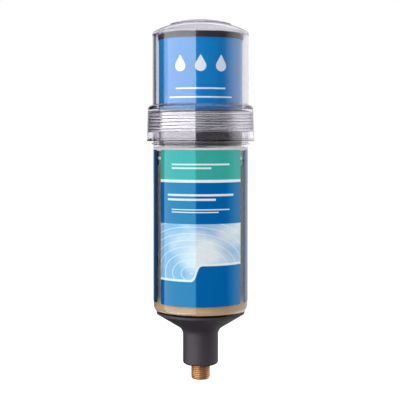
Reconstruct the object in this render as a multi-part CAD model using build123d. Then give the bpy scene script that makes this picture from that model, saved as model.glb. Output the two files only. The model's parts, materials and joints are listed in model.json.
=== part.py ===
from build123d import *
import math
import os

# Automatic single-point grease lubricator, in millimetres. The origin is the centre of the
# nozzle's end face, where the outlet thread begins. +Z runs up the axis and -Y is the front.

# Shared clearances
bearing_clearance = 0.05
loose_clearance = 0.5
label_thickness = 0.15

# Motor
motor_diameter = 16.0
motor_length = 26.0
motor_edge_radius = 0.8
motor_end_cap_length = 3.0
motor_end_cap_step = 1.0
motor_shaft_diameter = 2.0
motor_shaft_depth = 6.0
motor_boss_diameter = 6.0
motor_boss_height = 1.0
terminal_length = 3.0
terminal_width = 2.0
terminal_thickness = 0.5
terminal_spacing = 10.0

# Battery pack: AA cells in a moulded cradle round the motor
cell_count = 3
cell_diameter = 14.5
cell_length = 50.5
cell_edge_radius = 0.6
cell_nub_diameter = 5.5
cell_nub_height = 1.3
cell_wall_gap = 0.85
cradle_wall = 1.0
cradle_clearance = 0.1
cradle_motor_gap = 1.65
cradle_height = 38.0
cradle_mouth_angle = 130.0
holder_floor_thickness = 1.2
contact_width = 7.0
contact_thickness = 0.4

# Drive housing and its top plate
drive_wall = 1.9
drive_floor_thickness = 2.0
drive_insert = 21.2
drive_gap = 2.3
drive_flange_inset = 0.5
drive_flange_thickness = 1.8
seal_land_length = 8.0
seal_land_clearance = 0.4
seal_ring_section = 2.2
seal_groove_play = 0.22
boss_diameter = 5.6
plate_boss_gap = 1.3
plate_boss_angles = (75, 180, 285)
top_boss_overlap = 0.5
top_boss_angles = (60, 180, 300)
top_boss_length = 24.0
top_plate_gap = 1.4
top_plate_thickness = 1.8
top_rim_height = 1.2
top_rim_overhang = 0.6
top_rim_width = 2.6
top_rim_chamfer = 0.4
top_skirt_depth = 0.9
label_seam = 1.0

# Screws of the gear plate and the top plate
screw_shank_diameter = 2.2
screw_length = 7.0
screw_head_diameter = 4.4
screw_head_height = 1.5
screw_head_radius = 0.5
screw_head_clearance = 0.2
screw_head_recess = 0.8
screw_cross_length = 2.4
screw_cross_width = 0.6
screw_cross_depth = 0.6

# Circuit board, lamps and selector
board_gap = 1.5
board_edge_gap = 1.6
board_thickness = 1.4
board_post_diameter = 3.0
board_post_inset = 4.5
lamp_diameter = 3.0
lamp_height = 4.0
lamp_dome_radius = 1.35
lamp_clearance = 0.2
lamp_inset = 7.5
lamp_count = 3
lamp_spacing_angle = 16.0
dial_diameter = 19.0
dial_thickness = 1.0
dial_chamfer = 0.3
dial_shaft_diameter = 5.0
dial_slot_length = 11.4
dial_slot_width = 1.6
dial_slot_depth = 0.5
switch_size = 11.0

# Gear train, two equal stages on one centre distance
pinion_teeth = 10
wheel_teeth = 30
wheel_gap = 1.18
profile_shift = 0.4
addendum = 1.0
dedendum = 1.25
pressure_angle = 20.0
backlash = 0.12
flank_steps = 3
gear_face = 3.0
gear_gap = 1.0
output_boss_height = 2.2
output_hub_wall = 3.0
output_bearing_wall = 2.0
axle_diameter = 3.0
axle_bearing_wall = 1.5
gear_plate_gap = 1.4
gear_plate_thickness = 2.0
gear_plate_edge_gap = 0.4

# Cartridge
piston_stroke = 87.0
stroke_end_gap = 11.7
cartridge_floor = 35.5
cartridge_floor_thickness = 1.8
cartridge_edge_radius = 5.5
cartridge_wall_low = 1.8
cartridge_wall_high = 1.5
spigot_diameter = 17.0
spigot_length = 17.0
spigot_clearance = 0.3
spigot_seal_thickness = 2.0
spigot_seal_clearance = 0.5
collar_width = 0.3
collar_thickness = 1.1
neck_wall = 2.4
neck_length = 19.0

# Cartridge labels
label_foot_gap = 8.5
label_head_gap = 3.6
label_corner_radius = 2.0
front_label_angle = 110.0
window_angle = 9.5

# Spindle and piston
spindle_diameter = 10.0
spindle_clearance = 0.08
spindle_chamfer = 1.0
spindle_foot_gap = 1.5
drive_hex_step = 1.0
drive_hex_clearance = 0.1
drive_hex_length = 6.0
piston_drop = 12.4
piston_web = 2.4
piston_hub_wall = 2.2
piston_hub_top_gap = 1.4
piston_rib_count = 6
piston_rib_thickness = 1.6
piston_rib_drop = 1.0
piston_band_clearance = 0.4
nut_wall = 3.5
nut_height = 8.0
lip_clearance = 0.1
lip_width = 3.2
lip_taper = 0.3
lip_land = 1.2
lip_gap = 1.9
lower_lip_height = 3.5
upper_lip_height = 2.7

# Outlet nipple, a G 1/4 male insert moulded into the support flange
thread_diameter = 13.157
thread_length = 10.2
thread_chamfer = 0.75
thread_relief = 0.6
outlet_bore = 5.0
insert_step = 1.0
insert_shoulder = 1.6
insert_depth = 11.5
insert_groove_width = 2.0
insert_groove_depth = 0.8

# Support flange
nozzle_wall = 3.25
nozzle_edge_radius = 1.8
dish_inset = 2.05
dish_rim_height = 1.5
dish_slope = 32.0
dish_fillet = 6.6
dish_lip = 1.0
core_wall = 2.2
core_rib_count = 8
core_rib_thickness = 1.6

# Clear screw-on cover
cover_gap = 2.3
cover_wall = 1.9
cover_draft = 0.2
cover_edge_gap = 1.4
cover_edge_radius = 1.5
dome_radius = 40.0
dome_centre_offset = 11.3
disc_diameter = 40.8
disc_step = 1.0
disc_rise = 2.75
skirt_gap = 1.0
skirt_clearance = 0.7
skirt_wall_high = 2.0
skirt_wall_low = 2.7
skirt_lip = 0.2
skirt_lip_height = 1.6
shoulder_radius = 2.8
shoulder_thickness = 3.0
shoulder_ledge_gap = 1.3

# Diameters that follow, from the motor outwards
drive_bore = motor_diameter + 2 * (
    cradle_motor_gap + cradle_wall + cradle_clearance + cell_diameter + cell_wall_gap
)
drive_diameter = drive_bore + 2 * drive_wall
cell_circle = drive_bore - cell_diameter - 2 * cell_wall_gap
cell_recess = cell_diameter + 2 * cradle_clearance
plate_diameter = drive_bore - 2 * gear_plate_edge_gap
board_diameter = drive_bore - 2 * board_edge_gap
board_post_circle = board_diameter - 2 * board_post_inset
lamp_circle = board_diameter - 2 * lamp_inset
plate_boss_circle = drive_bore - boss_diameter - 2 * plate_boss_gap
top_boss_circle = drive_bore - boss_diameter + 2 * top_boss_overlap
top_rim_diameter = drive_diameter + 2 * top_rim_overhang
cartridge_bore = drive_diameter + 2 * drive_gap
cartridge_diameter_low = cartridge_bore + 2 * cartridge_wall_low
cartridge_diameter_high = cartridge_bore + 2 * cartridge_wall_high
neck_diameter = cartridge_bore + 2 * neck_wall
collar_diameter = neck_diameter + 2 * collar_width
seal_land_diameter = cartridge_bore - 2 * seal_land_clearance
drive_flange_diameter = neck_diameter - 2 * drive_flange_inset
nozzle_diameter = spigot_diameter + 2 * (spigot_clearance + nozzle_wall)
dish_diameter = cartridge_diameter_low - 2 * dish_inset
insert_diameter = thread_diameter + 2 * insert_step
drive_hex = spindle_diameter - 2 * drive_hex_step
output_hub_diameter = drive_hex + 2 * output_hub_wall
spindle_passage = spindle_diameter + 2 * loose_clearance
nut_across_flats = spindle_diameter + 2 * nut_wall
piston_hub_diameter = nut_across_flats / math.cos(math.radians(30)) + 2 * piston_hub_wall
cover_bore = drive_diameter + 2 * cover_gap
skirt_bore = neck_diameter + 2 * skirt_clearance
skirt_diameter_high = skirt_bore + 2 * skirt_wall_high
skirt_diameter_low = skirt_bore + 2 * skirt_wall_low
skirt_lip_diameter = skirt_diameter_low + 2 * skirt_lip

# The idler's wheel reaches almost to the housing wall, which sets the module
wheel_reach = (pinion_teeth + wheel_teeth) / 2 + wheel_teeth / 2 + addendum - profile_shift
gear_module = (drive_bore / 2 - wheel_gap) / wheel_reach
gear_centres = gear_module * (pinion_teeth + wheel_teeth) / 2

# Heights that follow, from the outlet upwards
spigot_end = cartridge_floor - spigot_length
spigot_seat = spigot_end - spigot_seal_thickness
cartridge_inner_floor = cartridge_floor + cartridge_floor_thickness
spindle_foot = cartridge_inner_floor + spindle_foot_gap
piston_bottom = cartridge_inner_floor + stroke_end_gap + piston_stroke
upper_lip_bottom = piston_bottom + lower_lip_height + lip_gap
piston_top = upper_lip_bottom + upper_lip_height
drive_floor = piston_bottom + piston_drop
piston_hub_top = drive_floor - piston_hub_top_gap
drive_inner_floor = drive_floor + drive_floor_thickness
neck_top = drive_floor + drive_insert
collar_top = neck_top - neck_length
collar_height = collar_top - collar_thickness
label_bottom = cartridge_floor + label_foot_gap
label_top = collar_height - label_head_gap
label_height = label_top - label_bottom
output_gear_height = drive_inner_floor + output_boss_height
wheel_height = output_gear_height + gear_face + gear_gap
gear_plate_height = wheel_height + gear_face + gear_plate_gap
gear_plate_top = gear_plate_height + gear_plate_thickness
cell_height = gear_plate_top + holder_floor_thickness + contact_thickness
board_height = cell_height + cell_length + board_gap
board_top = board_height + board_thickness
top_plate_height = board_top + top_plate_gap
top_plate_face = top_plate_height + top_plate_thickness
top_screw_height = top_plate_face - screw_head_recess
drive_top = top_plate_face + top_rim_height
drive_wall_top = top_plate_height - top_skirt_depth
drive_flange_top = neck_top + drive_flange_thickness
skirt_bottom = collar_top + skirt_gap
cover_ledge = drive_flange_top + shoulder_ledge_gap


def turned(outline):
    """The solid swept by a closed outline, drawn as radius and height, about the Z axis."""
    return revolve(make_face(Plane.XZ * outline), Axis.Z)


def turned_polygon(*points):
    return turned(Polyline(*points, close=True))


def block(length, width, height, align=Align.CENTER):
    """A box that stands on its foot, centred on Y and aligned as stated on X."""
    return Box(length, width, height, align=(align, Align.CENTER, Align.MIN))


def cylinder(diameter, bottom, top, at=(0, 0)):
    """An upright round bar between two heights."""
    return Pos(at[0], at[1], bottom) * extrude(Circle(diameter / 2), amount=top - bottom)


def circles(solid):
    return solid.edges().filter_by(GeomType.CIRCLE)


def ring(outer, inner, bottom, top):
    return cylinder(outer, bottom, top) - cylinder(inner, bottom, top)


def on_circle(diameter, angle):
    """The point at an angle in degrees on a circle about the axis."""
    return (
        diameter / 2 * math.cos(math.radians(angle)),
        diameter / 2 * math.sin(math.radians(angle)),
    )


def cartridge_radius(height):
    """Outer radius of the drafted cartridge wall."""
    low = cartridge_floor + cartridge_edge_radius
    share = (height - low) / (collar_height - low)
    return cartridge_bore / 2 + cartridge_wall_low + (cartridge_wall_high - cartridge_wall_low) * share


# Outlet


def nipple_outside():
    """The nipple's outside: thread, shoulder and a collar with a retaining groove."""
    thread_r = thread_diameter / 2
    collar_r = insert_diameter / 2
    groove_low = (insert_shoulder + insert_depth - insert_groove_width) / 2
    groove_high = groove_low + insert_groove_width
    groove_r = collar_r - insert_groove_depth
    return turned_polygon(
        (0, -thread_length),
        (thread_r - thread_chamfer, -thread_length),
        (thread_r, -thread_length + thread_chamfer),
        (thread_r, 0),
        (thread_r - thread_relief, 0),
        (thread_r - thread_relief, insert_shoulder),
        (collar_r, insert_shoulder),
        (collar_r, groove_low),
        (groove_r, groove_low),
        (groove_r, groove_high),
        (collar_r, groove_high),
        (collar_r, insert_depth),
        (0, insert_depth),
    )


def make_outlet_nipple():
    return nipple_outside() - cylinder(outlet_bore, -thread_length, insert_depth)


def make_support_flange(cartridge_outside):
    """A nozzle that opens into a shallow dish, cored from above between ribs."""
    nozzle_r = nozzle_diameter / 2
    dish_r = dish_diameter / 2
    rim_top = cartridge_floor + dish_lip
    rim_bottom = rim_top - dish_rim_height
    slope = math.tan(math.radians(dish_slope))
    cone_foot = rim_bottom - (dish_r - nozzle_r) * slope
    body = turned_polygon(
        (0, 0),
        (nozzle_r, 0),
        (nozzle_r, cone_foot),
        (dish_r, rim_bottom),
        (dish_r, rim_top),
        (0, rim_top),
    )
    inner_corner = circles(body).filter_by_position(Axis.Z, cone_foot, cone_foot)
    body = fillet(inner_corner, dish_fillet)
    body = fillet(circles(body).group_by(Axis.Z)[0], nozzle_edge_radius)

    core_in = spigot_diameter / 2 + spigot_clearance + core_wall
    core_out = dish_r - 2 * core_wall
    depth_in = cone_foot + (core_in - nozzle_r) * slope + 2 * core_wall
    depth_out = cone_foot + (core_out - nozzle_r) * slope + core_wall
    core = turned_polygon(
        (core_in, cartridge_floor),
        (core_in, depth_in),
        (core_out, depth_out),
        (core_out, cartridge_floor),
    )
    core -= PolarLocations(0, core_rib_count) * block(dish_diameter, core_rib_thickness, rim_top, Align.MIN)
    body -= core
    body -= cylinder(spigot_diameter + 2 * spigot_clearance, spigot_seat, rim_top)
    body -= cylinder(outlet_bore, insert_depth, rim_top)
    return body - nipple_outside() - cartridge_outside


def make_outlet_seal():
    return ring(spigot_diameter, outlet_bore + 2 * spigot_seal_clearance, spigot_seat, spigot_end)


# Cartridge


def cartridge_envelope():
    """The cartridge's outside: spigot, rounded bottom, drafted wall, collar and threaded neck."""
    low_r = cartridge_diameter_low / 2
    edge = cartridge_edge_radius
    corner = edge * (1 - math.cos(math.radians(45)))
    spigot_r = spigot_diameter / 2
    high_r = cartridge_diameter_high / 2
    collar_r = collar_diameter / 2
    foot = Polyline(
        (0, spigot_end),
        (spigot_r, spigot_end),
        (spigot_r, cartridge_floor),
        (low_r - edge, cartridge_floor),
    )
    bend = ThreePointArc(
        (low_r - edge, cartridge_floor),
        (low_r - corner, cartridge_floor + corner),
        (low_r, cartridge_floor + edge),
    )
    wall = Polyline(
        (low_r, cartridge_floor + edge),
        (high_r, collar_height),
        (collar_r, collar_height),
        (collar_r, collar_top),
        (neck_diameter / 2, collar_top),
        (neck_diameter / 2, neck_top),
        (0, neck_top),
        (0, spigot_end),
    )
    return turned(foot + bend + wall)


def cartridge_cavity():
    """The bore that the piston slides in, with a rounded foot and the outlet below it."""
    bore_r = cartridge_bore / 2
    edge = cartridge_edge_radius - cartridge_floor_thickness
    corner = edge * (1 - math.cos(math.radians(45)))
    floor = cartridge_inner_floor
    outlet = Polyline(
        (0, spigot_end),
        (outlet_bore / 2, spigot_end),
        (outlet_bore / 2, floor),
        (bore_r - edge, floor),
    )
    bend = ThreePointArc((bore_r - edge, floor), (bore_r - corner, floor + corner), (bore_r, floor + edge))
    wall = Polyline((bore_r, floor + edge), (bore_r, neck_top), (0, neck_top), (0, spigot_end))
    return turned(outlet + bend + wall)


def label_skin():
    """A full turn of label film on the drafted wall."""
    low = cartridge_radius(label_bottom)
    high = cartridge_radius(label_top)
    return turned_polygon(
        (low, label_bottom),
        (low + label_thickness, label_bottom),
        (high + label_thickness, label_top),
        (high, label_top),
    )


def label_prism(angle):
    """A block through the front of the wall, as wide as a label that spans the angle."""
    width = cartridge_diameter_low * math.sin(math.radians(angle / 2))
    face = RectangleRounded(width, label_height, label_corner_radius)
    middle = label_bottom + label_height / 2
    return Pos(0, 0, middle) * extrude(Plane.XZ * face, amount=cartridge_diameter_low)


def make_front_label(skin):
    return skin & label_prism(front_label_angle)


def make_rear_label(skin):
    """The rest of the turn, past a clear window on each side."""
    gap = Box(
        cartridge_diameter_low * math.sin(math.radians(front_label_angle / 2 + window_angle)),
        cartridge_diameter_low,
        2 * label_height,
        align=(Align.CENTER, Align.MAX, Align.CENTER),
    )
    return skin - Pos(0, 0, label_bottom + label_height / 2) * gap


def make_grease():
    """What the cartridge holds, clear of the spindle and the piston."""
    top = piston_bottom - lip_clearance
    column = cartridge_cavity() & cylinder(cartridge_bore, cartridge_inner_floor, top)
    return column - cylinder(spindle_passage, cartridge_inner_floor, top)


# Piston


def hexagon(across_flats, bottom, top):
    face = RegularPolygon(across_flats / 2, 6, major_radius=False)
    return Pos(0, 0, bottom) * extrude(face, amount=top - bottom)


def make_lip(bottom, height):
    """A wiper ring that narrows at its foot."""
    outer = cartridge_bore / 2 - lip_clearance
    return turned_polygon(
        (outer - lip_width, bottom),
        (outer - lip_taper, bottom),
        (outer, bottom + height - lip_land),
        (outer, bottom + height),
        (outer - lip_width, bottom + height),
    )


def make_piston_body():
    """A disc with two seal grooves, a stiffening hub and radial ribs on its upper face."""
    lip_root = cartridge_bore / 2 - lip_clearance - lip_width
    band_low = piston_bottom + lower_lip_height
    web_top = piston_bottom + piston_web
    band_r = cartridge_bore / 2 - piston_band_clearance
    hub_r = piston_hub_diameter / 2
    shell = turned_polygon(
        (0, piston_bottom),
        (lip_root, piston_bottom),
        (lip_root, band_low),
        (band_r, band_low),
        (band_r, upper_lip_bottom),
        (lip_root, upper_lip_bottom),
        (lip_root, piston_top),
        (lip_root - piston_web, piston_top),
        (lip_root - piston_web, web_top),
        (hub_r, web_top),
        (hub_r, piston_hub_top),
        (0, piston_hub_top),
    )
    rib_height = piston_top - web_top - piston_rib_drop
    rib = block(lip_root - piston_web / 2, piston_rib_thickness, rib_height, Align.MIN)
    body = shell + Pos(0, 0, web_top) * PolarLocations(0, piston_rib_count) * rib
    body -= hexagon(nut_across_flats, piston_hub_top - nut_height, piston_hub_top)
    return body - cylinder(spindle_passage, piston_bottom, piston_hub_top)


def make_piston_nut():
    nut = hexagon(nut_across_flats, piston_hub_top - nut_height, piston_hub_top)
    return nut - cylinder(spindle_diameter + 2 * spindle_clearance, piston_bottom, piston_hub_top)


def make_spindle():
    """Lead screw with a hexagon head that plugs into the output gear."""
    screw = cylinder(spindle_diameter, spindle_foot, drive_floor - bearing_clearance)
    screw = chamfer(circles(screw), spindle_chamfer)
    return screw + hexagon(drive_hex, drive_floor - spindle_chamfer, drive_floor + drive_hex_length)


# Gear train


def involute(angle):
    return math.tan(angle) - angle


def gear_outline(teeth, shift):
    """Involute teeth drawn as chords, so that a flank never stands proud of the true curve."""
    pressure = math.radians(pressure_angle)
    pitch_r = gear_module * teeth / 2
    base_r = pitch_r * math.cos(pressure)
    tip_r = pitch_r + gear_module * (addendum + shift)
    root_r = pitch_r - gear_module * (dedendum - shift)
    thickness = gear_module * (math.pi / 2 + 2 * shift * math.tan(pressure)) - backlash / 2
    half_tooth = thickness / (2 * pitch_r) + involute(pressure)
    start = max(base_r, root_r)
    radii = [start + (tip_r - start) * step / flank_steps for step in range(flank_steps + 1)]
    flank = [(r, half_tooth - involute(math.acos(min(1.0, base_r / r)))) for r in radii]
    if root_r < base_r:
        flank.insert(0, (root_r, half_tooth))
    tooth = [(r, -angle) for r, angle in flank] + [(r, angle) for r, angle in reversed(flank)]
    points = []
    for index in range(teeth):
        turn = 2 * math.pi * index / teeth
        points += [(r * math.cos(turn + angle), r * math.sin(turn + angle)) for r, angle in tooth]
    return make_face(Polyline(*points, close=True))


def gear(teeth, shift, bottom, top, turn=0.0):
    blank = extrude(gear_outline(teeth, shift), amount=top - bottom)
    return Pos(0, 0, bottom) * Rot(0, 0, turn) * blank


def make_output_gear():
    """Second-stage wheel on a hub that runs in the housing floor and carries the hexagon socket."""
    wheel = gear(wheel_teeth, -profile_shift, output_gear_height, output_gear_height + gear_face)
    wheel += cylinder(output_hub_diameter, drive_floor, output_gear_height)
    socket = hexagon(drive_hex + 2 * drive_hex_clearance, drive_floor, drive_floor + drive_hex_length)
    return wheel - socket


def make_idler_gear():
    """First-stage wheel and second-stage pinion moulded as one, beside the motor."""
    half_pitch = 180 / pinion_teeth
    cluster = gear(wheel_teeth, -profile_shift, wheel_height, wheel_height + gear_face)
    cluster += gear(pinion_teeth, profile_shift, output_gear_height, wheel_height, half_pitch)
    cluster -= cylinder(axle_diameter + 2 * bearing_clearance, drive_floor, gear_plate_top)
    return Pos(gear_centres, 0, 0) * cluster


def make_idler_axle():
    return cylinder(axle_diameter, drive_inner_floor, gear_plate_top, (gear_centres, 0))


def make_motor_pinion():
    half_pitch = 180 / pinion_teeth
    pinion = gear(pinion_teeth, profile_shift, wheel_height, wheel_height + gear_face, half_pitch)
    return pinion - cylinder(motor_shaft_diameter, wheel_height, wheel_height + gear_face)


def make_motor_shaft():
    return cylinder(motor_shaft_diameter, wheel_height, gear_plate_top + motor_shaft_depth)


def make_gear_plate():
    """The plate that carries the motor and the idler's upper bearing, screwed to three bosses."""
    plate = cylinder(plate_diameter, gear_plate_height, gear_plate_top)
    plate -= cylinder(motor_boss_diameter, gear_plate_height, gear_plate_top)
    plate -= cylinder(axle_diameter, gear_plate_height, gear_plate_top, (gear_centres, 0))
    for angle in plate_boss_angles:
        at = on_circle(plate_boss_circle, angle)
        plate -= cylinder(screw_shank_diameter, gear_plate_height, gear_plate_top, at)
    return plate


# Motor


def make_motor_can():
    """A drawn can with a bearing boss, bored for its shaft."""
    top = gear_plate_top + motor_length - motor_end_cap_length
    can = cylinder(motor_diameter, gear_plate_top, top)
    can = fillet(circles(can), motor_edge_radius)
    can += cylinder(motor_boss_diameter, gear_plate_height, gear_plate_top + motor_boss_height)
    hole_diameter = motor_shaft_diameter + 2 * bearing_clearance
    hole_top = gear_plate_top + motor_shaft_depth + bearing_clearance
    return can - cylinder(hole_diameter, gear_plate_height, hole_top)


def make_motor_end_cap():
    """The plastic end with its rear bearing and two terminals."""
    top = gear_plate_top + motor_length
    cap = cylinder(motor_diameter - 2 * motor_end_cap_step, top - motor_end_cap_length, top)
    cap += cylinder(motor_boss_diameter, top, top + motor_boss_height)
    for side in (-1, 1):
        terminal = block(terminal_thickness, terminal_width, terminal_length)
        cap += Pos(side * terminal_spacing / 2, 0, top) * terminal
    return cap


# Battery pack


def cell_angle(index):
    return 360 * index / cell_count


def make_cell(index):
    """An AA cell; every second one stands on its nub, as cells in series do."""
    body_top = cell_height + cell_length - cell_nub_height
    can = cylinder(cell_diameter, cell_height, body_top)
    can = fillet(circles(can), cell_edge_radius)
    can += cylinder(cell_nub_diameter, body_top, cell_height + cell_length)
    if index % 2:
        middle = cell_height + cell_length / 2
        can = Pos(0, 0, middle) * Rot(180, 0, 0) * Pos(0, 0, -middle) * can
    return Pos(*on_circle(cell_circle, cell_angle(index)), 0) * can


def cradle_mouth(height):
    """A wedge about +X that opens a cradle towards the housing wall."""
    half = math.radians(cradle_mouth_angle / 2)
    reach = 2 * cell_diameter
    wedge = Polyline(
        (0, 0),
        (reach * math.cos(half), -reach * math.sin(half)),
        (reach * math.cos(half), reach * math.sin(half)),
        close=True,
    )
    return extrude(make_face(wedge), amount=height)


def make_battery_holder():
    """A floor with a C-shaped cradle for each cell, open towards the housing wall."""
    floor_top = gear_plate_top + holder_floor_thickness
    top = floor_top + cradle_height
    holder = cylinder(plate_diameter, gear_plate_top, floor_top)
    tube = ring(cell_recess + 2 * cradle_wall, cell_recess, gear_plate_top, top)
    cradle = tube - Pos(0, 0, floor_top) * cradle_mouth(cradle_height)
    for index in range(cell_count):
        at = on_circle(cell_circle, cell_angle(index))
        holder += Pos(*at, 0) * Rot(0, 0, cell_angle(index)) * cradle
    holder &= cylinder(plate_diameter, gear_plate_top, top)
    for angle in plate_boss_angles:
        at = on_circle(plate_boss_circle, angle)
        holder -= cylinder(screw_head_diameter + 2 * loose_clearance, gear_plate_top, floor_top, at)
    return holder - cylinder(motor_diameter + 2 * loose_clearance, gear_plate_top, top)


def make_contacts(bottom, leg_height=0.0):
    """A square leaf at each cell's end, with a leg that stands up to the board where it has one."""
    leaf = block(contact_width, contact_width, contact_thickness)
    if leg_height:
        leg = block(contact_thickness, contact_width, leg_height, Align.MAX)
        leaf += Pos(contact_width / 2, 0, 0) * leg
    places = [on_circle(cell_circle, cell_angle(index)) for index in range(cell_count)]
    return [Pos(*at, bottom) * leaf for at in places]


# Circuit board, lamps and selector


def make_circuit_board():
    """A round board, notched where the housing's top bosses pass."""
    board = cylinder(board_diameter, board_height, board_top)
    for angle in top_boss_angles:
        at = on_circle(top_boss_circle, angle)
        board -= cylinder(boss_diameter + 2 * loose_clearance, board_height, board_top, at)
    return board


def make_rotary_switch():
    body = Pos(0, 0, board_top) * block(switch_size, switch_size, top_plate_gap)
    return body - cylinder(dial_shaft_diameter + 2 * bearing_clearance, board_top, top_plate_height)


def lamp_place(index):
    middle = (lamp_count - 1) / 2
    return on_circle(lamp_circle, 270 + (index - middle) * lamp_spacing_angle)


def make_lamp(index):
    """A round lamp that stands on the board and shows through the top plate."""
    lamp = cylinder(lamp_diameter, board_top, board_top + lamp_height, lamp_place(index))
    return fillet(circles(lamp).group_by(Axis.Z)[-1], lamp_dome_radius)


def make_selector_dial():
    """A flat knob with a screwdriver slot and a pointer notch, on a shaft into the switch."""
    bottom = top_plate_face + bearing_clearance
    top = bottom + dial_thickness
    knob = cylinder(dial_diameter, bottom, top)
    knob = chamfer(circles(knob).group_by(Axis.Z)[-1], dial_chamfer)
    slot = Pos(0, 0, top) * Box(dial_slot_length, dial_slot_width, 2 * dial_slot_depth)
    notch = cylinder(dial_slot_width, top - dial_slot_depth, top, (dial_diameter / 2, 0))
    shaft = cylinder(dial_shaft_diameter, board_top + bearing_clearance, bottom)
    return knob - slot - notch + shaft


# Drive housing


def make_drive_housing():
    """A stepped cup: a lower part in the cartridge neck, a flange on its rim, and the labelled wall."""
    wall_r = drive_diameter / 2
    land_r = seal_land_diameter / 2
    land_bottom = neck_top - seal_land_length
    flange_r = drive_flange_diameter / 2
    inner_r = drive_bore / 2
    body = turned_polygon(
        (0, drive_floor),
        (wall_r, drive_floor),
        (wall_r, land_bottom - (land_r - wall_r)),
        (land_r, land_bottom),
        (land_r, neck_top),
        (flange_r, neck_top),
        (flange_r, drive_flange_top),
        (wall_r, drive_flange_top),
        (wall_r, drive_wall_top),
        (inner_r, drive_wall_top),
        (inner_r, drive_inner_floor),
        (0, drive_inner_floor),
    )
    middle = neck_top - seal_land_length / 2
    half_groove = seal_ring_section / 2 + seal_groove_play
    groove_bottom = cartridge_bore - 2 * seal_ring_section
    body -= ring(seal_land_diameter, groove_bottom, middle - half_groove, middle + half_groove)
    for angle in plate_boss_angles:
        at = on_circle(plate_boss_circle, angle)
        body += cylinder(boss_diameter, drive_inner_floor, gear_plate_height, at)
        body -= cylinder(screw_shank_diameter, gear_plate_top - screw_length, gear_plate_height, at)
    for angle in top_boss_angles:
        at = on_circle(top_boss_circle, angle)
        body += cylinder(boss_diameter, drive_wall_top - top_boss_length, drive_wall_top, at)
        body -= cylinder(screw_shank_diameter, top_screw_height - screw_length, drive_wall_top, at)
    bearing_top = output_gear_height - 2 * bearing_clearance
    idler_at = (gear_centres, 0)
    body += cylinder(output_hub_diameter + 2 * output_bearing_wall, drive_inner_floor, bearing_top)
    body += cylinder(axle_diameter + 2 * axle_bearing_wall, drive_inner_floor, bearing_top, idler_at)
    body -= cylinder(axle_diameter, drive_inner_floor, output_gear_height, idler_at)
    return body - cylinder(output_hub_diameter + 2 * bearing_clearance, drive_floor, output_gear_height)


def make_neck_seal():
    """The ring between the drive's land and the cartridge neck."""
    middle_r = cartridge_bore / 2 - seal_ring_section / 2
    section = Pos(middle_r, neck_top - seal_land_length / 2) * Circle(seal_ring_section / 2)
    return revolve(Plane.XZ * section, Axis.Z)


def make_top_plate():
    """The drive's top: a plate in a raised rim, drilled for the dial, the lamps and three screws."""
    rim_r = top_rim_diameter / 2
    plate = turned_polygon(
        (0, top_plate_height),
        (drive_bore / 2, top_plate_height),
        (drive_bore / 2, drive_wall_top),
        (rim_r, drive_wall_top),
        (rim_r, drive_top),
        (rim_r - top_rim_width, drive_top),
        (rim_r - top_rim_width, top_plate_face),
        (0, top_plate_face),
    )
    plate = chamfer(circles(plate).group_by(Axis.Z)[-1], top_rim_chamfer)
    plate -= cylinder(dial_shaft_diameter + 2 * bearing_clearance, top_plate_height, top_plate_face)
    for index in range(lamp_count):
        at = lamp_place(index)
        plate -= cylinder(lamp_diameter + 2 * lamp_clearance, top_plate_height, top_plate_face, at)
    for index in range(cell_count):
        at = on_circle(board_post_circle, cell_angle(index))
        plate += cylinder(board_post_diameter, board_top, top_plate_height, at)
    for angle in top_boss_angles:
        at = on_circle(top_boss_circle, angle)
        plate += cylinder(boss_diameter, drive_wall_top, top_plate_height, at)
        plate -= cylinder(screw_shank_diameter, drive_wall_top, top_plate_face, at)
        recess = screw_head_diameter + 2 * screw_head_clearance
        plate -= cylinder(recess, top_screw_height, top_plate_face, at)
    return plate


def make_drive_label():
    """Film around the upper wall, with its ends a little apart at the back."""
    outside = drive_diameter + 2 * label_thickness
    film = ring(outside, drive_diameter, drive_flange_top, drive_wall_top)
    seam = Pos(0, outside / 2, 0) * block(label_seam, outside, drive_wall_top)
    return film - seam


def make_screws(circle, angles, seat):
    """Pan-head screws with a cross recess, one solid each."""
    head = cylinder(screw_head_diameter, seat, seat + screw_head_height)
    head = fillet(circles(head).group_by(Axis.Z)[-1], screw_head_radius)
    screw = head + cylinder(screw_shank_diameter, seat - screw_length, seat)
    cross = Box(screw_cross_length, screw_cross_width, 2 * screw_cross_depth)
    for turn in (0, 90):
        screw -= Pos(0, 0, seat + screw_head_height) * Rot(0, 0, turn) * cross
    return [Pos(*on_circle(circle, angle), 0) * screw for angle in angles]


# Cover


def dome_outline(inset):
    """The cover's top from the axis to its wall, moved in by a wall thickness."""
    outer_r = cover_bore / 2 + cover_wall
    wall_r = outer_r - inset
    radius = dome_radius - inset
    disc_r = disc_diameter / 2 - inset
    drop = math.sqrt(dome_radius**2 - (outer_r - dome_centre_offset) ** 2)
    centre_z = drive_top + cover_edge_gap - drop

    def dome_z(r):
        return centre_z + math.sqrt(radius**2 - (r - dome_centre_offset) ** 2)

    disc_edge_z = dome_z(disc_r) + disc_step
    apex_z = disc_edge_z + disc_rise
    disc_radius = (disc_r**2 + disc_rise**2) / (2 * disc_rise)
    middle_r = disc_r / 2
    middle_z = apex_z - disc_radius + math.sqrt(disc_radius**2 - middle_r**2)
    between = (disc_r + wall_r) / 2
    disc = ThreePointArc((0, apex_z), (middle_r, middle_z), (disc_r, disc_edge_z))
    step = Line((disc_r, disc_edge_z), (disc_r, dome_z(disc_r)))
    dome = ThreePointArc(
        (disc_r, dome_z(disc_r)),
        (between, dome_z(between)),
        (wall_r, dome_z(wall_r)),
    )
    return disc + step + dome, wall_r, dome_z(wall_r), apex_z


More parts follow.
